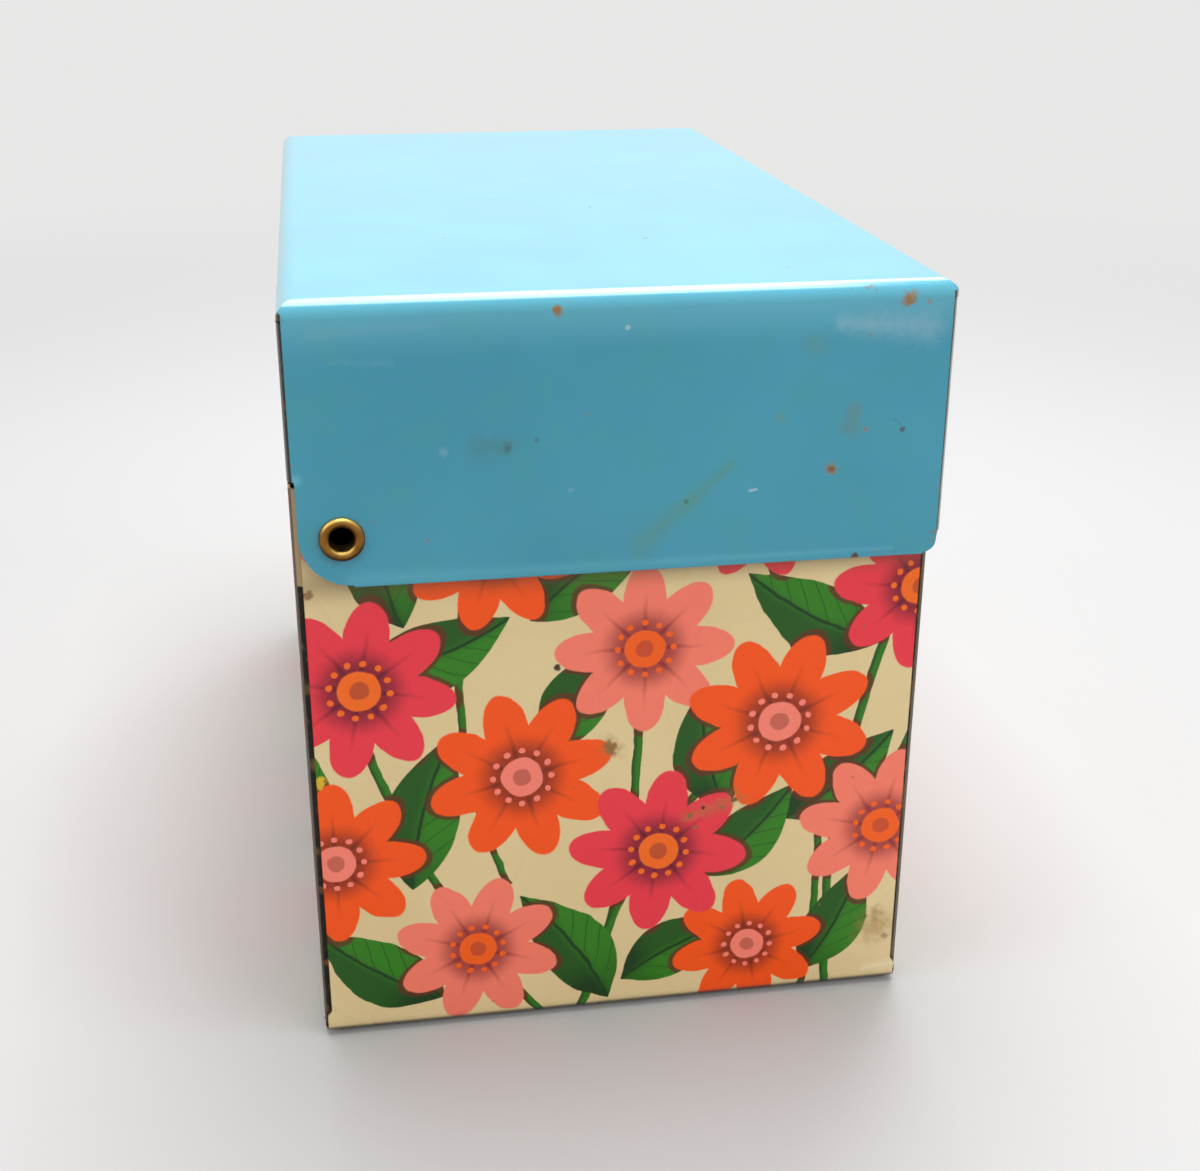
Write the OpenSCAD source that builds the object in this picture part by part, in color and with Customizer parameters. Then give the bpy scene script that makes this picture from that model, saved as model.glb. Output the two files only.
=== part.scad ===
// Hinged tin box for recipe cards. The body and the deep lid are each folded from one blank of
// tinplate: the side walls carry tabs that tuck behind the end walls, and the edges are hemmed.
// Two hollow brass eyelets through the end walls are the hinge.
// X runs along the box, the front is at -Y, the hinge is at +Y and Z is up.

/* [Box] */
// Length over the end skirts of the lid
lid_l = 138; // [112:0.1:170]
// Depth over the front and rear skirts of the lid
lid_d = 76.2; // [62:0.1:96]
// Height of the closed box
box_h = 94.4; // [78:0.1:117]

/* [Lid] */
// How far the front and end skirts reach below the hinge axis
ear = 6; // [5:0.1:9]
// Height of the short rear skirt's edge above the hinge axis
rear_rise = 6.5; // [6:0.1:9]
// Set back of the end skirts from the front face
lid_front_seam = 0.7; // [0.35:0.05:0.9]
// Set back of the end skirts from the rear face, beside the rear skirt
lid_rear_seam = 0.5; // [0.35:0.05:0.7]
// Set back of the end skirts from the rear face, below the rear skirt
lid_notch_seam = 0.8; // [0.7:0.05:1.5]
// Height of the slope between these two edges
notch_h = 2; // [1:0.1:4]
// Radius of the lower rear corner of the end skirts, around the eyelet
lid_rear_corner_r = 6; // [3:0.1:6.5]
// Radius of the lower front corner of the end skirts
lid_front_corner_r = 1.5; // [0.5:0.1:3]
// Width of the tabs tucked behind the end skirts
lid_tab_w = 9; // [5:0.5:15]
// Opening angle at which the lid is drawn
lid_angle = 0; // [0:1:98]

/* [Body] */
// Set back of the end walls from the front and rear faces
body_seam = 0.95; // [0.5:0.05:1.1]
// Set back of the end walls where they flare out at the foot
body_foot_seam = 0.4; // [0.3:0.05:0.5]
// Height of that flare
foot_h = 2.8; // [2.5:0.1:6]
// Width of the tabs tucked behind the end walls
body_tab_w = 13; // [10:0.5:20]

/* [Sheet] */
// Thickness of the tinplate
sheet = 0.3; // [0.24:0.01:0.4]
// Outer radius of the long bends round the top of the lid and the foot of the body
fold_r = 2; // [1.2:0.1:2.5]
// Outer radius of the bends down the corners
corner_r = 1; // [0.8:0.05:1.2]
// How far the leaf of a hem reaches back along its wall
hem_leaf = 2.2; // [1:0.1:2.6]
// The same for the hem of the front skirt
front_leaf = 1.5; // [1:0.1:2]
// The same for the hem of the rear skirt
rear_leaf = 0.9; // [0.5:0.1:2]
// Gap inside the pressed hems of the lid
lid_hem_gap = 0.05; // [0.02:0.01:0.1]
// Length cut off the corners of the tabs
tab_clip = 2; // [0.5:0.1:4]

/* [Hinge] */
// Distance of the hinge axis from the rear face of the box
pivot_in = 5.65; // [4.8:0.05:8]
// Distance of the hinge axis below the top of the lid
pivot_down = 26.9; // [24:0.1:30]
// Outer diameter of the eyelet's barrel
eyelet_d = 3.4; // [2.8:0.1:4]
// Wall of the eyelet
eyelet_wall = 0.3; // [0.2:0.05:0.35]
// Diameter of the rolled flange outside the lid
flange_d = 5.2; // [5:0.1:7]
// Diameter of the clenched rim inside the body
clench_d = 5; // [4.8:0.1:5.4]

/* [Clearances] */
// Gap between each end skirt and the body
end_gap = 0.9; // [0.8:0.05:1.5]
// Least gap between the rim and the front and rear skirts as they swing past
swing_gap = 0.2; // [0.1:0.05:0.6]
// Play of the lid round the eyelet's barrel, on the radius
pivot_play = 0.05; // [0.02:0.01:0.1]
// Play of the body round the eyelet's barrel, on the radius
seat_play = 0.02; // [0.01:0.01:0.05]
// Play of the lid under the eyelet's flange
flange_play = 0.05; // [0.02:0.01:0.2]

/* [Hidden] */

$fn = 64;
// Steps in each rounded corner of an outline
corner_steps = 8;
// Overlap of two layers that are spot-welded together
weld = 0.05;
// How far a cutting shape runs past what it cuts
past = 1;

// The hems of the body hold a tab between their two leaves
body_hem_r = (3 * sheet - 2 * weld) / 2;
lid_hem_r = (2 * sheet + lid_hem_gap) / 2;
// Hems stop this far short of the corners
hem_back = corner_r + 1.2;

skirt_h = pivot_down + ear;
rear_skirt_h = pivot_down - rear_rise;
hinge_y = lid_d / 2 - pivot_in;
hinge_z = box_h - pivot_down;

// The rear skirt's hem swings past the rear of the rim on this radius about the hinge
rear_hem = norm([pivot_in - lid_hem_r, rear_rise + lid_hem_r]);
rear_swing_r = rear_hem - lid_hem_r - swing_gap;

// Height of the rim above the hinge axis, in whole hundredths
rim_rise = sqrt((rear_swing_r - body_hem_r) ^ 2 - (pivot_in - body_hem_r) ^ 2);
rim_up = floor(100 * (body_hem_r + rim_rise)) / 100;

// The front skirt and its hem swing past the front of the rim on this radius about the hinge
front_reach = lid_d - pivot_in - sheet;
front_hem = norm([lid_d - pivot_in - 2 * lid_hem_r, ear - lid_hem_r - front_leaf]);
swing_r = min(front_reach, front_hem) - swing_gap;

// The body reaches this far forwards from the hinge axis, in whole hundredths, and its rear
// wall is flush with the rear skirt
rim_reach = sqrt((swing_r - body_hem_r) ^ 2 - (rim_up - body_hem_r) ^ 2);
body_front = floor(100 * (body_hem_r + rim_reach)) / 100;
body_l = lid_l - 2 * sheet - 2 * end_gap;
body_d = body_front + pivot_in;
body_y = hinge_y + (pivot_in - body_front) / 2;
body_h = hinge_z + rim_up;

// The eyelet grips everything between the lid's outer face and the tab inside the body
tab_face = body_l / 2 - 2 * sheet + weld;
grip = lid_l / 2 - tab_face;

function arc(x, y, r, from, to) =
    [for (i = [0 : corner_steps])
        let (a = from + (to - from) * i / corner_steps)
            [x + r * cos(a), y + r * sin(a)]];

// Bend of the sheet about Z, turning from +X towards +Y
module bend(r, len, angle = 90) {
    rotate_extrude(angle = angle)
        translate([r - sheet, 0])
            square([sheet, len]);
}

// Long bend that turns the floor up into a wall, whose outer face is at x = reach
module fold(reach, width) {
    translate([reach - fold_r, -width / 2, fold_r])
        rotate([-90, 0, 0])
            bend(fold_r, width);
}

// Edge folded inwards through half a turn, with its leaf lying back along the wall
module hem(reach, width, top, r, leaf) {
    translate([reach - r, width / 2, top - r])
        rotate([90, 0, 0])
            bend(r, width, 180);
    translate([reach - 2 * r, -width / 2, top - r - leaf])
        cube([sheet, width, leaf]);
}

// Draws its children for the +X end and for the -X end
module both_ends() {
    children();
    mirror([1, 0, 0])
        children();
}

// End wall towards +X, to an outline that is drawn in Y and Z above the fold
module end_wall(l, d) {
    fold(l / 2, d - 2 * fold_r);
    translate([l / 2 - sheet, 0, 0])
        rotate([90, 0, 90])
            linear_extrude(sheet)
                children();
}

// Side wall towards +Y with a bend and a tab at each end. Where the tabs stop short of the top,
// the corners of the wall are cut off towards its hem.
module side_wall(l, d, top, tab_w, tab_top) {
    bend_x = l / 2 - sheet + weld - corner_r;
    hem_x = l / 2 - hem_back;
    foot = fold_r + sheet;
    rotate([0, 0, 90])
        fold(d / 2, l - 2 * fold_r);
    translate([0, d / 2, 0])
        rotate([90, 0, 0])
            linear_extrude(sheet)
                polygon([
                    [-bend_x, fold_r],
                    [-bend_x, tab_top],
                    [-hem_x, top],
                    [hem_x, top],
                    [bend_x, tab_top],
                    [bend_x, fold_r]
                ]);
    both_ends() {
        translate([bend_x, d / 2 - corner_r, foot])
            bend(corner_r, tab_top - foot);
        translate([l / 2 - 2 * sheet + weld, 0, 0])
            rotate([90, 0, 90])
                linear_extrude(sheet)
                    tab_outline(d / 2 - corner_r, d / 2 - tab_w, foot, tab_top);
        translate([l / 2 - fold_r, d / 2 - fold_r, fold_r])
            corner_patch();
    }
}

// Closed corner where the long folds meet, below the vertical seams
module corner_patch() {
    difference() {
        mitred_corner(fold_r, corner_r);
        mitred_corner(fold_r - sheet, corner_r - sheet);
    }
}

module mitred_corner(r, plan_r) {
    intersection() {
        rotate([-90, 0, 0])
            cylinder(r = r, h = fold_r);
        rotate([0, 90, 0])
            cylinder(r = r, h = fold_r);
        translate([0, 0, -r - past])
            linear_extrude(r + past)
                polygon(concat(
                    [[0, 0], [r + past, 0], [r + past, r - plan_r]],
                    arc(r - plan_r, r - plan_r, plan_r, 0, 90),
                    [[r - plan_r, r + past], [0, r + past]]
                ));
    }
}

module tab_outline(root, tip, foot, top) {
    polygon([
        [root, foot],
        [root, top],
        [tip + tab_clip, top],
        [tip, top - tab_clip],
        [tip, foot + tab_clip],
        [tip + tab_clip, foot]
    ]);
}

module floor_plate(l, d) {
    translate([-l / 2 + fold_r, -d / 2 + fold_r, 0])
        cube([l - 2 * fold_r, d - 2 * fold_r, sheet]);
}

module hinge_holes(d) {
    translate([0, hinge_y, hinge_z])
        rotate([0, 90, 0])
            cylinder(d = d, h = lid_l + 2 * past, center = true);
}

// Outline of the body's end walls, which flare out at the foot
module body_end_outline() {
    edge = body_d / 2 - body_seam;
    flare = body_seam - body_foot_seam;
    half = [
        [edge + flare, fold_r],
        [edge + flare, foot_h],
        [edge, foot_h + 2 * flare],
        [edge, body_h - body_hem_r]
    ];
    polygon(concat(half, [for (i = [len(half) - 1 : -1 : 0]) [-half[i].x, half[i].y]]));
}

module body_shell() {
    wall_top = body_h - body_hem_r;
    color([0.86, 0.77, 0.57])
        difference() {
            translate([0, body_y, 0]) {
                floor_plate(body_l, body_d);
                both_ends() {
                    end_wall(body_l, body_d)
                        body_end_outline();
                    hem(body_l / 2, body_d - 2 * hem_back, body_h, body_hem_r, hem_leaf);
                }
                for (side = [0, 1])
                    mirror([0, side, 0]) {
                        side_wall(body_l, body_d, wall_top, body_tab_w, wall_top);
                        rotate([0, 0, 90])
                            hem(body_d / 2, body_l - 2 * hem_back, body_h, body_hem_r, hem_leaf);
                    }
            }
            hinge_holes(eyelet_d + 2 * seat_play);
        }
}

// Outline of the lid's end skirts, in Y and in depth below the top of the lid
module lid_end_outline() {
    front = -lid_d / 2 + lid_front_seam;
    rear = lid_d / 2 - lid_rear_seam;
    notch = lid_d / 2 - lid_notch_seam;
    low = skirt_h - lid_hem_r;
    big_r = lid_rear_corner_r;
    small_r = lid_front_corner_r;
    polygon(concat(
        [[front, fold_r]],
        arc(front + small_r, low - small_r, small_r, 180, 90),
        arc(notch - big_r, low - big_r, big_r, 90, 0),
        [
            [notch, rear_skirt_h],
            [rear, rear_skirt_h - notch_h],
            [rear, fold_r]
        ]
    ));
}

// The lid folded up from its top plate, which lies at z = 0
module lid_blank() {
    hem_from = -lid_d / 2 + hem_back;
    hem_to = lid_d / 2 - lid_notch_seam - lid_rear_corner_r;
    front_top = skirt_h - lid_hem_r;
    rear_top = rear_skirt_h - lid_hem_r;
    floor_plate(lid_l, lid_d);
    both_ends() {
        end_wall(lid_l, lid_d)
            lid_end_outline();
        translate([0, (hem_from + hem_to) / 2, 0])
            hem(lid_l / 2, hem_to - hem_from, skirt_h, lid_hem_r, hem_leaf);
    }
    side_wall(lid_l, lid_d, rear_top, lid_tab_w, rear_top);
    rotate([0, 0, 90])
        hem(lid_d / 2, lid_l - 2 * hem_back, rear_skirt_h, lid_hem_r, rear_leaf);
    mirror([0, 1, 0]) {
        side_wall(lid_l, lid_d, front_top, lid_tab_w, front_top - hem_leaf - sheet);
        rotate([0, 0, 90])
            hem(lid_d / 2, lid_l - 2 * hem_back, skirt_h, lid_hem_r, front_leaf);
    }
}

module lid_shell() {
    color([0.45, 0.78, 0.86])
        translate([0, hinge_y, hinge_z])
            rotate([-lid_angle, 0, 0])
                translate([0, -hinge_y, -hinge_z])
                    difference() {
                        translate([0, 0, box_h])
                            mirror([0, 0, 1])
                                lid_blank();
                        hinge_holes(eyelet_d + 2 * pivot_play);
                    }
}

// Rim of the eyelet rolled outwards from the barrel, drawn above y = 0
module rolled_rim(d) {
    bore_r = eyelet_d / 2 - eyelet_wall;
    roll_r = (d / 2 - bore_r) / 2;
    translate([bore_r + roll_r, 0])
        difference() {
            circle(roll_r);
            circle(roll_r - eyelet_wall);
            translate([-roll_r - past, -roll_r - past])
                square([2 * (roll_r + past), roll_r + past]);
        }
}

// Eyelet along +X, with the lid's outer face at x = 0
module eyelet() {
    color([0.72, 0.55, 0.25])
        rotate([0, 90, 0])
            rotate_extrude() {
                translate([0, flange_play])
                    rolled_rim(flange_d);
                translate([eyelet_d / 2 - eyelet_wall, -grip])
                    square([eyelet_wall, grip + flange_play]);
                translate([0, -grip])
                    mirror([0, 1])
                        rolled_rim(clench_d);
            }
}

module right_eyelet() {
    translate([lid_l / 2, hinge_y, hinge_z])
        eyelet();
}

module left_eyelet() {
    mirror([1, 0, 0])
        right_eyelet();
}

body_shell();
lid_shell();
left_eyelet();
right_eyelet();
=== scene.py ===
import math
import bpy
from mathutils import Matrix, Vector


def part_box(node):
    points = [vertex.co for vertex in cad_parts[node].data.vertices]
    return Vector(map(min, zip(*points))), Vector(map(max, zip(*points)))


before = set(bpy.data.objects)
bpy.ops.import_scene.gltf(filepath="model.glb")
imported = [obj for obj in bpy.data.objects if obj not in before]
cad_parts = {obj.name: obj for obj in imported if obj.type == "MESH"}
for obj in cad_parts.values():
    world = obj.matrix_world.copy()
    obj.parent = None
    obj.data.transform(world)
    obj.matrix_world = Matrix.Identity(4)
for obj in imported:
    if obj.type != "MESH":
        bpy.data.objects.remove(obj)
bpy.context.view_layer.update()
print("frame loaded:", ", ".join(sorted(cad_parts)))

# Sizes below are in millimetres and angles in degrees, as they would be measured on the box
metre = 0.001


def paint(red, green, blue):
    # a colour as a swatch gives it, 0 to 255, turned into the light values that Blender works in
    def light(value):
        share = value / 255
        return share / 12.92 if share <= 0.04045 else ((share + 0.055) / 1.055) ** 2.4
    return (light(red), light(green), light(blue), 1)


# Node trees are written as sums: a Wire is one value on its way through a tree
class Wire:
    def __init__(self, tree, socket):
        self.tree = tree
        self.socket = socket

    def calc(self, operation, *others):
        step = self.tree.nodes.new("ShaderNodeMath")
        step.operation = operation
        for socket, value in zip(step.inputs, (self, *others)):
            plug(self.tree, value, socket)
        return Wire(self.tree, step.outputs[0])

    def vector(self, operation, *others, out=0):
        step = self.tree.nodes.new("ShaderNodeVectorMath")
        step.operation = operation
        sockets = [step.inputs[0], step.inputs["Scale"]] if operation == "SCALE" else step.inputs
        for socket, value in zip(sockets, (self, *others)):
            plug(self.tree, value, socket)
        return Wire(self.tree, step.outputs[out])

    def split(self):
        # dot products keep the tree free of type conversions: Cycles sorts those to its end, and a long
        # tree then runs out of room
        return [self.vector("DOT_PRODUCT", axis, out=1) for axis in ((1, 0, 0), (0, 1, 0), (0, 0, 1))]

    def ramp(self, start, end):
        # 0 at start, 1 at end and beyond, with soft shoulders
        step = self.tree.nodes.new("ShaderNodeMapRange")
        step.interpolation_type = "SMOOTHSTEP"
        step.clamp = False  # this curve is level beyond its ends anyway, and a clamp breaks the order
        for name, value in {"Value": self, "From Min": start, "From Max": end}.items():
            plug(self.tree, value, step.inputs[name])
        return Wire(self.tree, step.outputs[0])

    def __add__(self, other):
        return self.calc("ADD", other)

    def __sub__(self, other):
        return self.calc("SUBTRACT", other)

    def __mul__(self, other):
        return self.calc("MULTIPLY", other)

    def __truediv__(self, other):
        return self.calc("DIVIDE", other)

    def __abs__(self):
        return self.calc("ABSOLUTE")

    def upTo(self, limit):
        return self.calc("LESS_THAN", limit)

    def over(self, limit):
        return self.calc("GREATER_THAN", limit)

    def either(self, other):
        return self.calc("MAXIMUM", other)

    def inverse(self):
        return self * -1 + 1


def plug(tree, value, socket):
    if isinstance(value, Wire):
        tree.links.new(value.socket, socket)
    else:
        socket.default_value = value


def mixColour(tree, below, above, share):
    step = tree.nodes.new("ShaderNodeMix")
    step.data_type = "RGBA"
    plug(tree, share, step.inputs[0])
    plug(tree, below, step.inputs[6])
    plug(tree, above, step.inputs[7])
    return Wire(tree, step.outputs[2])


def noise(tree, size, detail=2.0, roughness=0.5):
    # cloudy noise from 0 to 1, whose clouds are about that many millimetres across
    coordinates = tree.nodes.new("ShaderNodeTexCoord")
    step = tree.nodes.new("ShaderNodeTexNoise")
    tree.links.new(coordinates.outputs["Object"], step.inputs["Vector"])
    plug(tree, 1 / (size * metre), step.inputs["Scale"])
    plug(tree, detail, step.inputs["Detail"])
    plug(tree, roughness, step.inputs["Roughness"])
    return Wire(tree, step.outputs[0])


def patches(tree, size, detail, ramp, share, roughness=0.5):
    # clouds that set in at the first value of ramp and are full at the second
    return noise(tree, size, detail, roughness).ramp(*ramp) * share


def joinVector(tree, x, y, z=0.0):
    step = tree.nodes.new("ShaderNodeCombineXYZ")
    for socket, value in zip(step.inputs, (x, y, z)):
        plug(tree, value, socket)
    return Wire(tree, step.outputs[0])


socketKinds = {"vector": "NodeSocketVector", "colour": "NodeSocketColor", "number": "NodeSocketFloat"}


def newGroup(name, takes, gives):
    tree = bpy.data.node_groups.new(name, "ShaderNodeTree")
    for label, kind in takes.items():
        tree.interface.new_socket(label, in_out="INPUT", socket_type=socketKinds[kind])
    for label, kind in gives.items():
        tree.interface.new_socket(label, in_out="OUTPUT", socket_type=socketKinds[kind])
    entry = tree.nodes.new("NodeGroupInput")
    given = {label: Wire(tree, entry.outputs[label]) for label in takes}
    return tree, given


def closeGroup(tree, **results):
    leave = tree.nodes.new("NodeGroupOutput")
    for label, value in results.items():
        plug(tree, value, leave.inputs[label])
    return tree


def useGroup(tree, group, **values):
    step = tree.nodes.new("ShaderNodeGroup")
    step.node_tree = group
    for label, value in values.items():
        plug(tree, value, step.inputs[label])
    results = [Wire(tree, socket) for socket in step.outputs]
    return results if len(results) > 1 else results[0]


def newMaterial(name):
    material = bpy.data.materials.new(name)
    material.use_nodes = True
    tree = material.node_tree
    tree.nodes.clear()
    shader = tree.nodes.new("ShaderNodeBsdfPrincipled")
    out = tree.nodes.new("ShaderNodeOutputMaterial")
    tree.links.new(shader.outputs[0], out.inputs[0])
    coordinates = tree.nodes.new("ShaderNodeTexCoord")
    spot = Wire(tree, coordinates.outputs["Object"]).vector("SCALE", 1 / metre)
    facing = Wire(tree, coordinates.outputs["Normal"])
    return material, tree, shader, spot, facing


def bump(tree, height, shader):
    # height is in millimetres
    step = tree.nodes.new("ShaderNodeBump")
    plug(tree, metre, step.inputs["Distance"])
    plug(tree, height, step.inputs["Height"])
    tree.links.new(step.outputs[0], shader.inputs["Normal"])


def dress(nodeName, material):
    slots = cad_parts[nodeName].data.materials
    slots.clear()
    slots.append(material)


# The outside of each tin, read from the frame
def outline(nodeName):
    low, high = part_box(nodeName)
    return low / metre, high / metre


bodyLow, bodyHigh = outline("body_shell")
lidLow, lidHigh = outline("lid_shell")

tinplate = {
    "bare": paint(186, 184, 178),  # tinned steel, inside and on cut edges
    "tarnish": paint(132, 120, 102),  # brownish film on it
    "grimeAndShade": paint(26, 19, 14),  # dirt in the seams; also painted shade along the foot
    "rust": paint(144, 104, 56),
    "darkRust": paint(70, 44, 28),
    "stain": paint(160, 122, 58),
    "scuff": paint(196, 214, 214),
    "film": {"size": 9, "detail": 3, "ramp": (0.3, 0.8), "share": 0.6},
    "pits": {"size": 2.4, "detail": 4, "roughness": 0.65, "ramp": (0.62, 0.74), "share": 0.6},
    "seamRust": {"size": 2.5, "detail": 3, "ramp": (0.5, 0.7), "share": 0.6},
    "seamShare": 0.92,  # how much of a seam its filling hides
    "sheet": 0.3,
    "outside": (0.35, 0.45),  # how squarely a surface looks away from the middle where paint sets in
    "endWise": 0.3,  # a surface that looks along X more than this belongs to an end
    "bend": (1.5, 0.3),  # how near the bends are to the outer faces
    "chipShare": 0.7,
    "metal": 0.7,
    "rougherBare": 0.16,
    "smears": {"size": 12, "detail": 0, "ramp": (0.3, 0.75), "share": 0.06},  # of roughness
    "dents": 0.06,  # height of the waves in the sheet
    "paintThickness": 0.02,
}


def markGroup():
    # one mark on the paint, from its start along its run, ragged and soft at its rim
    takes = {"Spot": "vector", "Start": "vector", "Run": "vector", "Along": "vector", "Thin": "number",
             "Wider": "number", "Wobble": "number", "Rough": "number", "Inner": "number",
             "Ink": "colour", "Strength": "number", "Below": "colour"}
    tree, given = newGroup("mark on the paint", takes, {"Colour": "colour"})
    reach = given["Spot"].vector("SUBTRACT", given["Start"])
    along = reach.vector("DOT_PRODUCT", given["Along"], out=1).either(0).calc("MINIMUM", 1)
    aside = reach.vector("DISTANCE", given["Run"].vector("SCALE", along), out=1)
    ragged = aside / (given["Thin"] + given["Wider"] * along) + (given["Wobble"] - 0.5) * given["Rough"]
    share = ragged.ramp(1, given["Inner"]) * given["Strength"]
    return closeGroup(tree, Colour=mixColour(tree, given["Below"], given["Ink"], share))


paintMark = markGroup()


def addMarks(tree, spot, colour, marks):
    wobble = noise(tree, 0.9, 3, 0.65)
    for mark in marks:
        start = Vector(mark["at"])
        run = Vector(mark.get("to", mark["at"])) - start
        size = mark["size"]
        thin, wide = size if isinstance(size, tuple) else (size, size)
        along = run / run.length_squared if run.length_squared else run
        colour = useGroup(
            tree, paintMark, Spot=spot, Start=start, Run=run, Along=along, Thin=thin, Wider=wide - thin,
            Wobble=wobble, Rough=mark.get("rough", 1.6), Inner=mark.get("inner", 0.5), Ink=mark["ink"],
            Strength=mark.get("strength", 1), Below=colour)
    return colour


def shellMasks(spot, facing, low, high, inset=2.2):
    # first 1 on the outside of a tin and -1 on the inside, then the place seen from the tin's middle
    core = (high - low) / 2 - Vector((inset, inset, inset))
    fromMiddle = spot.vector("SUBTRACT", tuple((low + high) / 2))
    nearest = fromMiddle.vector("MINIMUM", tuple(core)).vector("MAXIMUM", tuple(-core))
    away = fromMiddle.vector("SUBTRACT", nearest).vector("NORMALIZE")
    return facing.vector("DOT_PRODUCT", away, out=1), fromMiddle


def edgeRust(tree, colour, x, y, z, half):
    # sparse chips along the bends, rusted over
    far, near = tinplate["bend"]
    nearX, nearY, nearZ = (
        abs(value).ramp(size - far, size - near) for value, size in zip((x, y, z), half))
    onBend = (nearX * nearY).either(nearY * nearZ).either(nearX * nearZ)
    chips = noise(tree, 1.1, 4, 0.6).ramp(0.63, 0.67) * noise(tree, 14, 2).ramp(0.5, 0.62)
    return mixColour(tree, colour, tinplate["rust"], onBend.over(0.3) * chips * tinplate["chipShare"])


def bareTin(tree):
    bare = mixColour(tree, tinplate["bare"], tinplate["tarnish"], patches(tree, **tinplate["film"]))
    return mixColour(tree, bare, tinplate["darkRust"], patches(tree, **tinplate["pits"]))


def paintedTin(tree, shader, colour, painted, gloss):
    # joins the paint and the bare tin under it on one surface
    colour = mixColour(tree, bareTin(tree), colour, painted)
    plug(tree, painted.inverse() * tinplate["metal"], shader.inputs["Metallic"])
    smears = patches(tree, **tinplate["smears"])
    roughness = painted.inverse() * tinplate["rougherBare"] + smears + gloss
    plug(tree, roughness, shader.inputs["Roughness"])
    dents = noise(tree, 30, 1) * tinplate["dents"]
    bump(tree, dents + painted * tinplate["paintThickness"], shader)
    return colour


# The printed design: a repeat of daisies, leaves and stems that runs round the four walls
printDesign = {
    "ground": paint(236, 213, 162),  # yellowed cream lacquer
    "groundShade": paint(220, 194, 140),
    "repeats": 5,  # round the whole box
    "waver": 0.6,  # how far outlines stray, in all
    "petals": 8,
    "petalMiddle": 0.57,  # shares of a blossom's radius, here and below
    "petalHalfLength": 0.43,
    "petalHalfWidth": 0.235,
    "heart": 0.225,
    "eye": 0.1,
    "softRim": 0.01,
    "petalRim": (1.06, 0.94),  # where the oval of a petal sets in and is full
    "overlapRim": (1.45, 1.3),
    "overlapShare": 0.85,
    "petalShade": (0.56, 0.24),  # towards the heart
    "petalShadeShare": 0.85,
    "dotRing": 0.31,
    "dots": 12,
    "orange": {"petal": paint(252, 84, 2), "shade": paint(132, 38, 12), "heart": paint(252, 132, 112)},
    "pink": {"petal": paint(238, 56, 70), "shade": paint(112, 18, 42), "heart": paint(250, 108, 18)},
    "salmon": {"petal": paint(250, 126, 102), "shade": paint(150, 46, 46), "heart": paint(250, 96, 8)},
    "leaf": paint(48, 126, 16),
    "leafShade": paint(14, 58, 10),
    "leafTaper": -0.3,  # leaves are fuller in their near half
    "veinSpacing": 2.8,
    "veinSlant": 1.2,
    "stem": paint(44, 116, 16),
    "overlap": paint(92, 44, 14),  # where the ink of a petal laps over green
    # along the wall, height, radius, turn, colour
    "blossoms": [
        (-15, 65, 10.5, 15, "orange"),
        (17, 69, 10.0, 28, "pink"),
        (-39, 71, 9.5, 3, "salmon"),
        (-18, 11, 10.5, 18, "salmon"),
        (17, 8, 10.0, 34, "orange"),
        (37, 57, 11.0, 5, "pink"),
        (-31, 48, 11.5, 10, "pink"),
        (3, 51, 11.0, 0, "salmon"),
        (34, 24, 11.0, 12, "salmon"),
        (-35, 25, 11.0, 0, "orange"),
        (20, 40, 12.0, 20, "orange"),
        (-12, 35, 11.5, 30, "orange"),
        (5, 23, 11.5, 8, "pink"),
    ],
    # middle along the wall, height, length, half width, turn, bend
    "leaves": [
        (-23, 31, 22, 4.6, 75, 1.2),
        (-7, 10, 20, 4.4, 125, -1.2),
        (12, 37, 18, 4.2, 100, 1.2),
        (28, 32, 18, 4.2, 40, -1.0),
        (-4, 45, 17, 4.0, 55, 1.0),
        (24, 55, 20, 4.4, 150, 1.2),
        (-22, 53, 19, 4.4, 20, -1.2),
        (-39, 38, 17, 4.0, 110, 1.0),
        (8, 8, 17, 4.0, 25, 1.0),
        (28, 11, 17, 4.0, 65, -1.0),
        (-30, 10, 19, 4.4, 145, 1.2),
        (16, 25, 17, 4.0, 45, -1.0),
        (-3, 61, 19, 4.4, 35, 1.2),
        (29, 68, 18, 4.2, 30, -1.2),
        (-27, 64, 17, 4.0, 100, 1.0),
    ],
    # start along the wall, height, end along the wall, height, bow, thickness
    "stems": [
        (-8, -2, -32, 46, 3, 1.1),
        (-6, -2, 2, 50, -3, 1.2),
        (-4, 4, 20, 40, 4, 1.1),
        (28, -2, 34, 54, 3, 1.2),
        (24, -2, 16, 66, -5, 1.0),
        (-14, 20, -18, 62, 3, 1.0),
        (34, 30, 44, 70, -2, 1.0),
    ],
}

motif = {"Spot": "vector", "Place": "vector", "Below": "colour", "Cover": "number"}
green = {**motif, "Ahead": "vector", "Aside": "vector", "Length": "number"}
motifResults = {"Colour": "colour", "Cover": "number"}  # Cover is 1 where green has been printed


def fromPlace(given, repeat):
    away = given["Spot"].vector("SUBTRACT", given["Place"])
    far = 1000  # out of reach: the design repeats round the box only, not upwards
    return away.vector("WRAP", (repeat / 2, far, far), (-repeat / 2, -far, -far))


def turned(given, repeat):
    away = fromPlace(given, repeat)
    return [away.vector("DOT_PRODUCT", given[way], out=1) for way in ("Ahead", "Aside")]


def ways(turn):
    return {"Ahead": (math.cos(turn), math.sin(turn), 0), "Aside": (-math.sin(turn), math.cos(turn), 0)}


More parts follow.
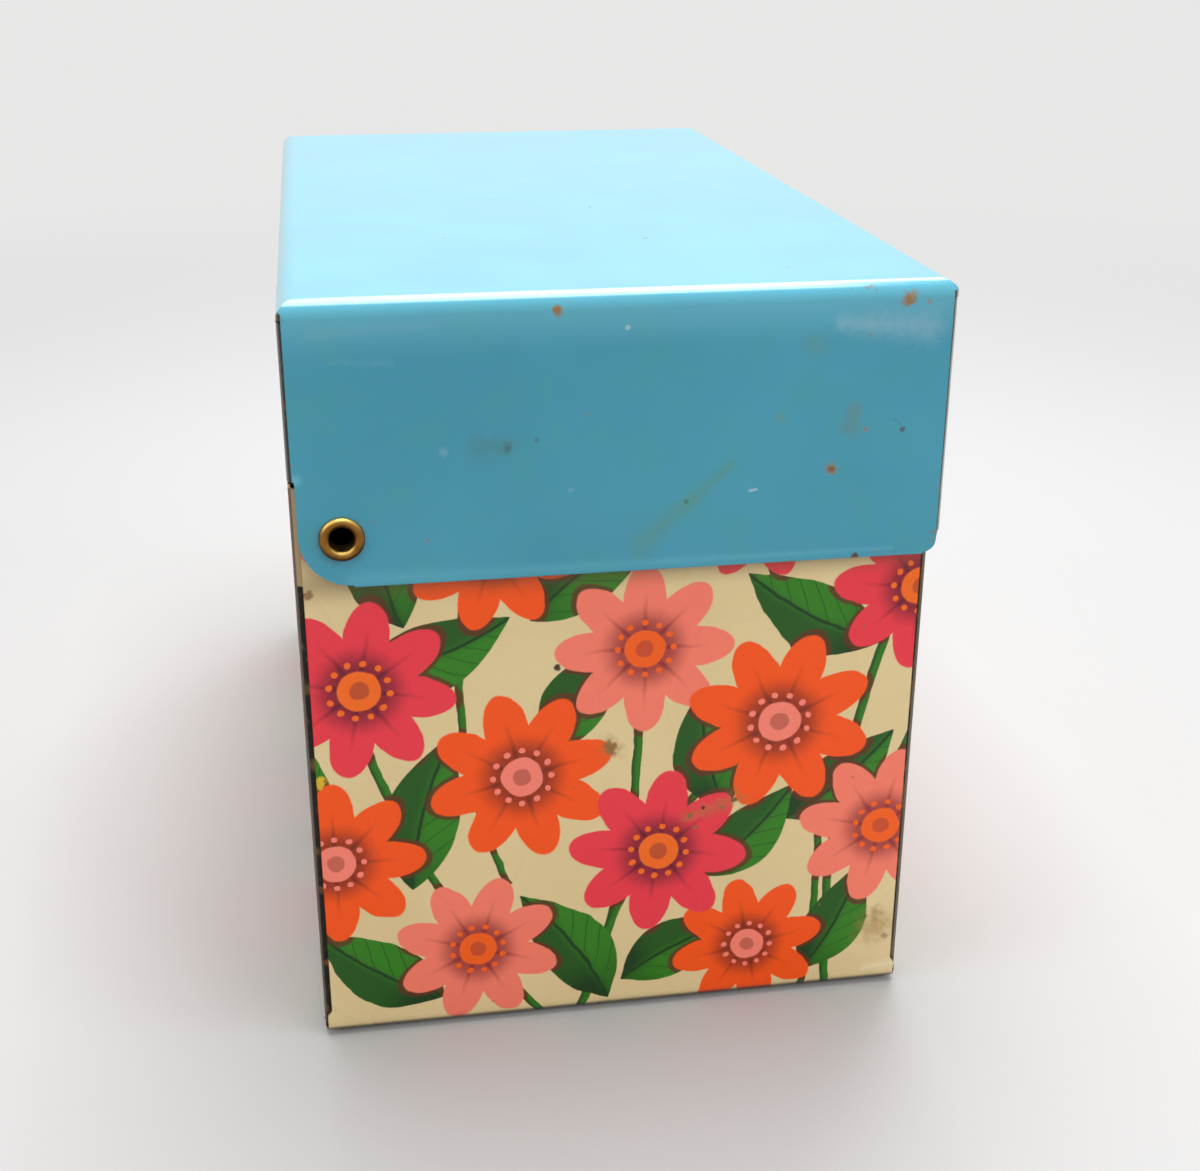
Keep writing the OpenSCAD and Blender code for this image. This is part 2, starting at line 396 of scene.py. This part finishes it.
def blossomGroup(repeat, design):
    takes = {**motif, "Turn": "number", "Radius": "number"}
    takes |= {"Petal": "colour", "Shade": "colour", "Heart": "colour"}
    tree, given = newGroup("blossom", takes, motifResults)
    away = fromPlace(given, repeat)
    across, up, _ = away.split()
    reach = away.vector("LENGTH", out=1) / given["Radius"]
    angle = up.calc("ARCTAN2", across) + given["Turn"]
    halfPetal = math.pi / design["petals"]
    lean = angle.calc("WRAP", halfPetal, -halfPetal)
    along = reach * lean.calc("COSINE")
    aside = abs(reach * lean.calc("SINE"))
    first = (along - design["petalMiddle"]) / design["petalHalfLength"]
    second = aside / design["petalHalfWidth"]
    oval = first * first + second * second
    shape = oval.ramp(*design["petalRim"])
    rim = oval.ramp(*design["overlapRim"]) * given["Cover"]
    below = mixColour(tree, given["Below"], design["overlap"], rim * design["overlapShare"])
    nearHeart = reach.ramp(*design["petalShade"]) * design["petalShadeShare"]
    crease = aside.ramp(0.03, 0.012) * along.ramp(0.75, 0.45) * 0.25
    petal = mixColour(tree, given["Petal"], given["Shade"], nearHeart + crease)
    flower = mixColour(tree, below, petal, shape)
    halfDot = math.pi / design["dots"]
    ring = angle.calc("WRAP", halfDot, -halfDot) * reach
    fromRing = reach - design["dotRing"]
    dots = (ring * ring + fromRing * fromRing).ramp(0.0015, 0.0009)
    soft = design["softRim"]
    heart = reach.ramp(design["heart"] + soft, design["heart"] - soft).either(dots)
    eye = reach.ramp(design["eye"] + soft, design["eye"] - soft)
    heartColour = mixColour(tree, given["Heart"], given["Shade"], eye * 0.5)
    colour = mixColour(tree, flower, heartColour, heart)
    return closeGroup(tree, Colour=colour, Cover=given["Cover"] * shape.inverse())


def leafGroup(repeat, design):
    takes = {**green, "Width": "number", "Bend": "number"}
    tree, given = newGroup("leaf", takes, motifResults)
    along, aside = turned(given, repeat)
    share = along / given["Length"] * 2
    arch = (share * share).inverse()
    aside = aside - arch * given["Bend"]
    edge = arch * given["Width"] * (share * design["leafTaper"] + 1)
    shape = (edge - abs(aside)).ramp(-0.05, 0.1) * abs(share).upTo(1)
    slanted = along - abs(aside) * design["veinSlant"]
    veins = slanted.calc("WRAP", design["veinSpacing"], 0).ramp(0.4, 0.15) * 0.55
    middle = abs(aside).ramp(0.3, 0.15)
    shading = (aside.ramp(-1.2, 1.2) * 0.7 + share.ramp(-0.2, -1) * 0.5).either(veins).either(middle)
    leaf = mixColour(tree, design["leaf"], design["leafShade"], shading)
    colour = mixColour(tree, given["Below"], leaf, shape)
    return closeGroup(tree, Colour=colour, Cover=given["Cover"].either(shape))


def stemGroup(repeat, design):
    takes = {**green, "Bow": "number", "Thick": "number"}
    tree, given = newGroup("stem", takes, motifResults)
    along, aside = turned(given, repeat)
    share = along / given["Length"] * 2
    aside = aside - (share * share).inverse() * given["Bow"]
    shape = (given["Thick"] * 0.5 - abs(aside)).ramp(-0.05, 0.08) * abs(share).upTo(1)
    stem = mixColour(tree, design["stem"], design["leafShade"], aside.ramp(-0.1, 0.5) * 0.8)
    colour = mixColour(tree, given["Below"], stem, shape)
    return closeGroup(tree, Colour=colour, Cover=given["Cover"].either(shape))


def printOn(tree, ground, where, repeat):
    design = printDesign
    stem = stemGroup(repeat, design)
    leaf = leafGroup(repeat, design)
    blossom = blossomGroup(repeat, design)
    colour, cover = ground, 0
    for startX, startZ, endX, endZ, bow, thick in design["stems"]:
        middle = ((startX + endX) / 2, (startZ + endZ) / 2, 0)
        run, rise = endX - startX, endZ - startZ
        colour, cover = useGroup(
            tree, stem, Spot=where, Place=middle, Below=colour, Cover=cover, Bow=bow, Thick=thick,
            Length=math.hypot(run, rise), **ways(math.atan2(rise, run)))
    for x, z, length, width, turn, bend in design["leaves"]:
        colour, cover = useGroup(
            tree, leaf, Spot=where, Place=(x, z, 0), Below=colour, Cover=cover, Length=length, Width=width,
            Bend=bend, **ways(math.radians(turn)))
    for x, z, radius, turn, name in design["blossoms"]:
        inks = design[name]
        colour, cover = useGroup(
            tree, blossom, Spot=where, Place=(x, z, 0), Turn=math.radians(turn), Below=colour, Cover=cover,
            Radius=radius, Petal=inks["petal"], Shade=inks["shade"], Heart=inks["heart"])
    return colour


bodyEnd = bodyLow.x
bodyTin = {
    "seam": 0.95,  # from the front and rear faces to the edge of the end walls
    "footSeam": 0.4,  # the same where the end walls flare out at the foot
    "flare": (3.9, 2.8),  # heights where the flare starts and where it is full
    "gaps": (0.3, 0.6),  # dirt between the sheets at the front and at the rear
    "seamFoot": 1.2,  # height where the seams begin
    "frontStrip": paint(84, 66, 42),
    "rearStrip": paint(58, 48, 38),
    "cleanGap": paint(176, 150, 112),  # in the rear gap behind the lid's ear, where no dirt gets
    "lidShadowBand": (58.4, 61.6),  # heights between which a painted shadow lies under the lid's edge, on the end walls
    "lidShadow": paint(104, 78, 48),
    # heights over which painted shade darkens the foot's lower bend
    "footShadeBand": (1.5, 0.8),
    "shares": {"lidShadow": 0.4, "frontStrip": 0.85, "rearStrip": 0.8, "foot": 0.8},
    "specks": {"size": 1.7, "detail": 3, "roughness": 0.6, "ramp": (0.72, 0.75), "share": 0.8},
    "underside": -0.75,  # a surface that looks down more than this isn't printed
    "flat": -0.95,  # and one that looks down more than this is the flat of the floor
    "hem": 2.4,  # painted depth of the hem inside the rim
    "gloss": 0.26,
    "specular": 0.35,
    "marks": [
        {"at": (bodyEnd, -33.8, 9.0), "size": 4.2, "ink": tinplate["stain"], "strength": 0.7,
         "inner": -0.2, "rough": 1},
        # painted highlight on the flared front foot corner
        {"at": (bodyEnd, -36.4, 2.9), "to": (bodyEnd, -32.6, 2.5), "size": (1.4, 0.8),
         "ink": paint(252, 240, 210), "strength": 0.5, "inner": -0.6, "rough": 0.3},
        {"at": (bodyEnd, -33.7, 11.0), "size": 1.4, "ink": tinplate["stain"], "strength": 0.6, "inner": 0},
        {"at": (bodyEnd, -35.2, 7.2), "size": 0.5, "ink": tinplate["darkRust"], "strength": 0.4},
        {"at": (bodyEnd, -32.4, 10.4), "size": 0.4, "ink": tinplate["darkRust"], "strength": 0.4},
        {"at": (bodyEnd, 1.7, 38.1), "size": 2.4, "ink": tinplate["stain"], "strength": 0.5, "inner": 0},
        {"at": (bodyEnd, 1.7, 38.1), "size": 1.0, "ink": tinplate["rust"], "strength": 0.95, "rough": 2.6},
        {"at": (bodyEnd, -8, 27.6), "to": (bodyEnd, -14.5, 29.6), "size": (1.3, 1.9),
         "ink": tinplate["stain"], "strength": 0.4, "inner": 0, "rough": 2.4},
        {"at": (bodyEnd, -8.5, 27.8), "size": 0.5, "ink": tinplate["rust"]},
        {"at": (bodyEnd, -10.2, 28.7), "size": 0.35, "ink": tinplate["darkRust"]},
        {"at": (bodyEnd, -12.6, 28.6), "size": 0.4, "ink": tinplate["rust"]},
        {"at": (bodyEnd, -14.2, 29.5), "size": 0.5, "ink": tinplate["darkRust"], "strength": 0.8},
        {"at": (bodyEnd, 36.5, 60.4), "size": 0.8, "ink": tinplate["rust"], "strength": 0.85,
         "rough": 2.4},
        {"at": (bodyEnd, 36.6, 36.3), "size": 0.9, "ink": paint(236, 190, 40), "strength": 0.85,
         "rough": 2.2},
        {"at": (bodyEnd, 8.1, 49.3), "size": 0.5, "ink": tinplate["darkRust"]},
    ],
}


def roundTheWalls(x, y, faceX, faceY, halfX, halfY):
    # millimetres round the box, to the right as seen from outside, from the middle of the -X end
    halfRound = 2 * halfX + 2 * halfY
    onEnd = y * faceX.calc("SIGN") + faceX.over(0) * halfRound
    onSide = x * faceY.calc("SIGN") * -1 + faceY.over(0) * halfRound + (halfX + halfY)
    return onEnd + (onSide - onEnd) * abs(faceY).over(abs(faceX))


def cornerSeam(tree, painted, past, gapWidth, faceX, x, halfX, seamRuns):
    # past is how far a point lies beyond the free edge of an end wall: there the bend of the side wall
    # shows as a strip of bare tin, with dirt and rust in the gap between them; seamRuns is 1 at the
    # heights where there is a seam
    painted = painted * (past.over(0) * abs(faceX).over(tinplate["endWise"]) * seamRuns).inverse()
    alongEdge = past.ramp(-0.1, 0.02) * (past - gapWidth).ramp(0.08, -0.08)
    gap = alongEdge * abs(x).over(halfX - 2 * tinplate["sheet"]) * seamRuns
    filling = mixColour(tree, tinplate["grimeAndShade"], tinplate["rust"], patches(tree, **tinplate["seamRust"]))
    return painted, gap * tinplate["seamShare"], filling


def bodyMaterial():
    material, tree, shader, spot, facing = newMaterial("printed tinplate")
    outward, fromMiddle = shellMasks(spot, facing, bodyLow, bodyHigh)
    x, y, aboveMiddle = fromMiddle.split()
    z = spot.split()[2]
    faceX, faceY, faceZ = facing.split()
    half = (bodyHigh - bodyLow) / 2
    shares = bodyTin["shares"]

    astray = (noise(tree, 3.0, 2) - 0.5) * printDesign["waver"]
    around = roundTheWalls(x, y, faceX, faceY, half.x, half.y)
    ground = mixColour(tree, printDesign["ground"], printDesign["groundShade"], noise(tree, 22, 3))
    repeat = 4 * (half.x + half.y) / printDesign["repeats"]
    printed = printOn(tree, ground, joinVector(tree, around + astray, z + astray), repeat)
    colour = mixColour(tree, ground, printed, faceZ.over(bodyTin["underside"]))
    # stains rubbed into the underside
    wearAndHighlight = faceZ.upTo(bodyTin["underside"]) * noise(tree, 12, 4, 0.6).ramp(0.5, 0.68) * 0.55
    colour = mixColour(tree, colour, tinplate["stain"], wearAndHighlight)
    colour = addMarks(tree, spot, colour, bodyTin["marks"])
    colour = mixColour(tree, colour, tinplate["rust"], patches(tree, **bodyTin["specks"]))
    colour = edgeRust(tree, colour, x, y, aboveMiddle, half)
    # painted shadow under the lid's overhang, on the end walls
    lidShadowShare = z.ramp(*bodyTin["lidShadowBand"]) * z.ramp(lidLow.z + 2.5, lidLow.z) * abs(faceX).over(0.5)
    colour = mixColour(tree, colour, bodyTin["lidShadow"], lidShadowShare * shares["lidShadow"])

    painted = outward.ramp(*tinplate["outside"]).either(z.over(bodyHigh.z - bodyTin["hem"]))
    seam = z.ramp(*bodyTin["flare"]) * (bodyTin["footSeam"] - bodyTin["seam"]) + bodyTin["seam"]
    past = abs(y) - half.y + seam
    frontGap, rearGap = bodyTin["gaps"]
    gapWidth = y.over(0) * (rearGap - frontGap) + frontGap
    seamRuns = z.over(bodyTin["seamFoot"])
    painted, gap, filling = cornerSeam(tree, painted, past, gapWidth, faceX, x, half.x, seamRuns)
    shader.inputs["Specular IOR Level"].default_value = bodyTin["specular"]
    colour = paintedTin(tree, shader, colour, painted, bodyTin["gloss"])
    strip = past.over(0) * abs(faceX).over(tinplate["endWise"])
    colour = mixColour(tree, colour, bodyTin["frontStrip"], strip * y.upTo(0) * shares["frontStrip"])
    colour = mixColour(tree, colour, bodyTin["rearStrip"], strip * y.over(0) * shares["rearStrip"])
    filling = mixColour(tree, filling, bodyTin["cleanGap"], z.over(lidLow.z) * y.over(0))
    colour = mixColour(tree, colour, filling, gap)
    # painted shade on the lowest bend of the foot, darker towards the bottom
    foot = z.ramp(*bodyTin["footShadeBand"]) * outward.ramp(*tinplate["outside"]) * faceZ.over(bodyTin["flat"])
    colour = mixColour(tree, colour, tinplate["grimeAndShade"], foot * shares["foot"])
    plug(tree, colour, shader.inputs["Base Color"])
    return material


dress("body_shell", bodyMaterial())
print("body printed")

lidEnd = lidLow.x
lidTin = {
    "enamel": paint(47, 145, 171),
    "pale": paint(68, 164, 189),
    "clouds": {"size": 30, "detail": 3, "ramp": (0.3, 0.8), "share": 0.5},
    "green": paint(52, 152, 150),
    "blotches": {"size": 5, "detail": 3, "ramp": (0.45, 0.7), "share": 0.32},
    "light": paint(112, 194, 214),  # painted highlight: the enamel just under the top bend is drawn lighter, where the bend catches light
    "bendHighlightBand": (87.5, 93),  # heights between which it grows lighter
    "shares": {"light": 0.4, "rearStrip": 0.8},
    "specks": {"size": 1.7, "detail": 3, "roughness": 0.6, "ramp": (0.73, 0.76), "share": 0.8},
    "rearStrip": paint(58, 50, 42),
    "frontSeam": 0.7,  # from the front face to the edge of the end skirts
    "rearSeam": 0.5,
    "seamTop": 1.2,  # from the top to where the seams begin
    "gap": 0.26,
    "hem": 2.5,  # painted depth of the hems inside the skirts
    "gloss": 0.2,
    "coat": {"Coat Weight": 0.55, "Coat Roughness": 0.07},
    "marks": [
        # painted reflection high on the right of the lid's end
        {"at": (lidEnd, -24.5, 90), "to": (lidEnd, -34.6, 89.2), "size": (1.8, 3.3),
         "ink": paint(150, 188, 204), "strength": 0.48, "inner": -0.3, "rough": 0.8},
        {"at": (lidEnd, 34.6, 91), "to": (lidEnd, 21, 91.4), "size": (1.3, 0.6),
         "ink": paint(124, 170, 178), "strength": 0.18, "inner": -0.3, "rough": 1},
        {"at": (lidEnd, 32.7, 87.8), "to": (lidEnd, 26.2, 87.5), "size": (0.5, 0.9),
         "ink": paint(126, 184, 198), "strength": 0.14, "inner": -0.3, "rough": 1},
        {"at": (lidEnd, -21.3, 87.7), "size": 2.4, "ink": paint(84, 140, 128), "strength": 0.4, "inner": 0},
        # painted highlight along the lid's lower hem
        {"at": (lidEnd, 31.5, 62.5), "to": (lidEnd, -32, 62.6), "size": (1.7, 0.5),
         "ink": paint(104, 188, 208), "strength": 0.34, "inner": -0.6, "rough": 0.4},
        # painted highlight beside the notch
        {"at": (lidEnd, 37.2, 74.6), "size": 1.2, "ink": paint(118, 204, 216), "strength": 0.6,
         "inner": -0.3, "rough": 0.4},
        # painted shadow under the eyelet's flange
        {"at": (lidEnd, 32.4, 66.8), "size": 3.3, "ink": paint(34, 92, 108), "strength": 0.6, "inner": 0.4,
         "rough": 0.3},
        {"at": (lidEnd, 13.6, 77.3), "to": (lidEnd, 16.6, 77.5), "size": (1.6, 2.6),
         "ink": paint(66, 124, 122), "strength": 0.45, "inner": 0, "rough": 2},
        {"at": (lidEnd, 13.6, 77.2), "size": 0.9, "ink": paint(48, 84, 76), "strength": 0.6, "inner": 0},
        {"at": (lidEnd, -12.1, 74), "to": (lidEnd, -1.6, 64.7), "size": (0.8, 2.6),
         "ink": paint(78, 138, 112), "strength": 0.5, "inner": -0.2, "rough": 1.4},
        {"at": (lidEnd, -6.9, 69.8), "size": 0.34, "ink": paint(52, 92, 74), "strength": 0.6},
        {"at": (lidEnd, -26.4, 79.7), "to": (lidEnd, -26.1, 77.7), "size": (1.6, 2.0),
         "ink": paint(84, 134, 128), "strength": 0.6, "inner": 0.1, "rough": 1.2},
        {"at": (lidEnd, -17.7, 79.5), "size": 1.0, "ink": paint(104, 138, 104), "strength": 0.35,
         "inner": 0},
        {"at": (lidEnd, -24, 72.9), "size": 1.0, "ink": tinplate["rust"], "strength": 0.9, "inner": 0.3},
        {"at": (lidEnd, -24, 72.9), "size": 0.55, "ink": tinplate["darkRust"], "strength": 0.7, "inner": 0},
        {"at": (lidEnd, 7.9, 92.5), "size": 0.85, "ink": tinplate["rust"], "inner": 0.2},
        {"at": (lidEnd, -32.0, 92.6), "size": 1.2, "ink": tinplate["rust"], "rough": 2, "inner": 0.2},
        {"at": (lidEnd, -32.3, 92.8), "size": 0.5, "ink": tinplate["stain"], "strength": 0.7, "inner": 0.2},
        {"at": (lidEnd, -34.4, 92.1), "size": 0.5, "ink": tinplate["rust"], "strength": 0.6, "inner": 0},
        {"at": (lidEnd, -27.9, 77.4), "size": 0.5, "ink": tinplate["rust"], "strength": 0.8, "inner": 0.1},
        {"at": (lidEnd, -32.3, 77.2), "size": 0.36, "ink": tinplate["darkRust"], "strength": 0.7},
        {"at": (lidEnd, -31.2, 78.5), "to": (lidEnd, -31.9, 77.9), "size": 0.22,
         "ink": tinplate["darkRust"], "strength": 0.25, "inner": 0},
        {"at": (lidEnd, 10.3, 77.9), "size": 0.35, "ink": tinplate["darkRust"], "strength": 0.4},
        {"at": (lidEnd, -14.4, 70.7), "to": (lidEnd, -15.2, 70.8), "size": 0.24, "ink": tinplate["scuff"],
         "strength": 0.6, "inner": 0},
        {"at": (lidEnd, 0.1, 90.4), "size": 0.4, "ink": tinplate["scuff"], "strength": 0.45},
        {"at": (lidEnd, 20.7, 77.1), "size": 0.8, "ink": tinplate["scuff"], "strength": 0.13, "inner": 0},
        {"at": (lidEnd, 6.5, 71.9), "size": 0.5, "ink": tinplate["scuff"], "strength": 0.15, "inner": 0},
        {"at": (lidEnd, -27.4, 61.7), "size": 0.6, "ink": tinplate["darkRust"]},
        {"at": (-15, -4.4, lidHigh.z), "size": 0.45, "ink": tinplate["darkRust"], "strength": 0.8},
        {"at": (-38.8, -7.6, lidHigh.z), "size": 0.4, "ink": tinplate["darkRust"], "strength": 0.8},
    ],
}


def lidMaterial():
    material, tree, shader, spot, facing = newMaterial("aqua enamel")
    outward, fromMiddle = shellMasks(spot, facing, lidLow, lidHigh)
    x, y, aboveMiddle = fromMiddle.split()
    z = spot.split()[2]
    faceX = facing.split()[0]
    half = (lidHigh - lidLow) / 2
    shares = lidTin["shares"]

    colour = mixColour(tree, lidTin["enamel"], lidTin["pale"], patches(tree, **lidTin["clouds"]))
    colour = mixColour(tree, colour, lidTin["green"], patches(tree, **lidTin["blotches"]))
    # painted highlight under the top bend
    colour = mixColour(tree, colour, lidTin["light"], z.ramp(*lidTin["bendHighlightBand"]) * shares["light"])
    colour = addMarks(tree, spot, colour, lidTin["marks"])
    colour = mixColour(tree, colour, tinplate["rust"], patches(tree, **lidTin["specks"]))
    colour = edgeRust(tree, colour, x, y, aboveMiddle, half)

    painted = outward.ramp(*tinplate["outside"]).either(z.upTo(lidLow.z + lidTin["hem"]))
    seam = y.over(0) * (lidTin["rearSeam"] - lidTin["frontSeam"]) + lidTin["frontSeam"]
    past = abs(y) - half.y + seam
    seamRuns = z.upTo(lidHigh.z - lidTin["seamTop"])
    painted, gap, filling = cornerSeam(tree, painted, past, lidTin["gap"], faceX, x, half.x, seamRuns)
    colour = paintedTin(tree, shader, colour, painted, lidTin["gloss"])
    strip = past.over(0) * abs(faceX).over(tinplate["endWise"]) * y.over(0) * seamRuns
    colour = mixColour(tree, colour, lidTin["rearStrip"], strip * shares["rearStrip"])
    plug(tree, mixColour(tree, colour, filling, gap), shader.inputs["Base Color"])
    for label, value in lidTin["coat"].items():
        shader.inputs[label].default_value = value
    return material


dress("lid_shell", lidMaterial())
print("lid enamelled")

brass = {
    "bright": paint(158, 110, 50),
    "dull": paint(104, 72, 36),
    "dullPatches": {"size": 1.2, "detail": 3, "ramp": (0.35, 0.8), "share": 0.7},
    # painted shade for the roll's downward faces
    "rollShade": paint(64, 38, 18),
    # painted highlight for the roll's upward faces
    "glint": paint(250, 208, 116),
    "ringRadius": 2.0,  # the top of the rolled flange, from the middle of the bore
    "ringSlope": 0.45,  # from that top to where the roll stands steep
    "shaded": (0.15, -0.6),  # how far up the roll faces where the painted shade sets in and is full
    # how far up the roll faces where the painted highlight sets in and is full
    "wearAndHighlight": (0.3, 0.95),
    "share": 0.9,
    "roughness": 0.28,
}


def brassMaterial():
    material, tree, shader, spot, _ = newMaterial("old brass")
    colour = mixColour(tree, brass["bright"], brass["dull"], patches(tree, **brass["dullPatches"]))
    # painted light: bright where the roll faces up, darker brown where it faces down, as if lit from above
    out = spot.vector("SUBTRACT", hinge).vector("MULTIPLY", (0, 1, 1))
    radius = out.vector("LENGTH", out=1)
    slope = ((radius - brass["ringRadius"]) / brass["ringSlope"]).either(-1).calc("MINIMUM", 1)
    upward = out.split()[2] / radius * slope
    colour = mixColour(tree, colour, brass["rollShade"], upward.ramp(*brass["shaded"]) * brass["share"])
    colour = mixColour(tree, colour, brass["glint"], upward.ramp(*brass["wearAndHighlight"]) * brass["share"])
    plug(tree, colour, shader.inputs["Base Color"])
    shader.inputs["Metallic"].default_value = 1
    plug(tree, noise(tree, 0.8, 3) * 0.2 + brass["roughness"], shader.inputs["Roughness"])
    return material


eyeletLow, eyeletHigh = outline("left_eyelet")
hinge = (0, (eyeletLow.y + eyeletHigh.y) / 2, (eyeletLow.z + eyeletHigh.z) / 2)
eyeletBrass = brassMaterial()
for name in ("left_eyelet", "right_eyelet"):
    dress(name, eyeletBrass)
print("eyelets done")

# Lengths here are in metres
studio = {
    "floor": (0.48, 0.48, 0.477, 1),
    "floorSize": 3.0,
    "floorRoughness": 0.8,
    "far": (0.8, 0.8, 0.795, 1),  # what the floor fades into, and the backdrop
    "fade": (0.15, 0.6),
    "world": (0.95, 0.97, 1.0, 1),
    "worldStrength": 0.35,
}


def seenPlain(tree):
    # 1 for what the camera sees itself, in a mirror or through glass
    path = tree.nodes.new("ShaderNodeLightPath")
    camera, glossy, clear = (
        Wire(tree, path.outputs[f"Is {kind} Ray"]) for kind in ("Camera", "Glossy", "Transmission"))
    return camera.either(glossy).either(clear)


def makeFloor():
    mesh = bpy.data.meshes.new("floor")
    size = studio["floorSize"]
    corners = [(-size, -size, 0), (size, -size, 0), (size, size, 0), (-size, size, 0)]
    mesh.from_pydata(corners, [], [(0, 1, 2, 3)])
    floor = bpy.data.objects.new("floor", mesh)
    bpy.context.scene.collection.objects.link(floor)
    material = bpy.data.materials.new("pale floor")
    material.use_nodes = True
    tree = material.node_tree
    shader = tree.nodes["Principled BSDF"]
    shader.inputs["Base Color"].default_value = studio["floor"]
    shader.inputs["Roughness"].default_value = studio["floorRoughness"]
    far = tree.nodes.new("ShaderNodeEmission")
    far.inputs["Color"].default_value = studio["far"]
    place = Wire(tree, tree.nodes.new("ShaderNodeTexCoord").outputs["Object"])
    share = place.vector("LENGTH", out=1).ramp(*studio["fade"]) * seenPlain(tree)
    mix = tree.nodes.new("ShaderNodeMixShader")
    plug(tree, share, mix.inputs[0])
    tree.links.new(shader.outputs[0], mix.inputs[1])
    tree.links.new(far.outputs[0], mix.inputs[2])
    tree.links.new(mix.outputs[0], tree.nodes["Material Output"].inputs[0])
    mesh.materials.append(material)


def makeWorld():
    world = bpy.data.worlds.new("studio")
    bpy.context.scene.world = world
    world.use_nodes = True
    tree = world.node_tree
    tree.nodes.clear()
    light = tree.nodes.new("ShaderNodeBackground")
    light.inputs[0].default_value = studio["world"]
    light.inputs[1].default_value = studio["worldStrength"]
    seen = tree.nodes.new("ShaderNodeBackground")
    seen.inputs[0].default_value = studio["far"]
    mix = tree.nodes.new("ShaderNodeMixShader")
    out = tree.nodes.new("ShaderNodeOutputWorld")
    plug(tree, seenPlain(tree), mix.inputs[0])
    tree.links.new(light.outputs[0], mix.inputs[1])
    tree.links.new(seen.outputs[0], mix.inputs[2])
    tree.links.new(mix.outputs[0], out.inputs[0])


# Place, size, power and the point that it shines at, in metres and watts; the enamel doesn't mirror
# the front lamp, which would wash out the top from behind
lamps = {
    "overhead": {"place": (0.02, 0, 0.5), "size": 0.32, "power": 2.6, "aim": (0, 0, 0.05)},
    "front": {"place": (-0.66, -0.82, 0.46), "size": 0.9, "power": 6.6, "aim": (0, 0, 0.05),
              "mirrored": False},
    "side": {"place": (-0.3, 0.9, 0.55), "size": 0.8, "power": 2.6, "aim": (0, 0, 0.05)},
    "far": {"place": (0.62, -0.2, 0.80), "size": 0.62, "power": 6.0, "aim": (0, 0, 0.05)},
}


def makeLamp(name, lamp):
    data = bpy.data.lights.new(name, "AREA")
    data.shape = "SQUARE"
    data.size = lamp["size"]
    data.energy = lamp["power"]
    light = bpy.data.objects.new(name, data)
    bpy.context.scene.collection.objects.link(light)
    light.location = lamp["place"]
    light.rotation_mode = "QUATERNION"
    light.rotation_quaternion = (Vector(lamp["aim"]) - light.location).to_track_quat("-Z", "Y")
    light.visible_glossy = lamp.get("mirrored", True)


makeFloor()
makeWorld()
for name, lamp in lamps.items():
    makeLamp(name, lamp)
print("studio set up")

# The camera stands off the -X end, a little towards the rear, and looks down on the box
camera = {
    "place": (-0.24988, 0.03332, 0.13436),
    "forward": (0.9141, -0.15252, -0.37571),
    "up": (0.37089, -0.05998, 0.92674),
    "lens": 51.08,
    "sensor": 36,
    "near": 0.01,
}


def makeCamera():
    data = bpy.data.cameras.new("camera")
    data.lens = camera["lens"]
    data.sensor_width = camera["sensor"]
    data.clip_start = camera["near"]
    view = bpy.data.objects.new("camera", data)
    bpy.context.scene.collection.objects.link(view)
    forward = Vector(camera["forward"]).normalized()
    right = forward.cross(Vector(camera["up"])).normalized()
    up = right.cross(forward)
    turn = Matrix((right, up, -forward)).transposed()
    view.matrix_world = Matrix.Translation(camera["place"]) @ turn.to_4x4()
    bpy.context.scene.camera = view


makeCamera()
bpy.context.scene.view_settings.view_transform = "Standard"
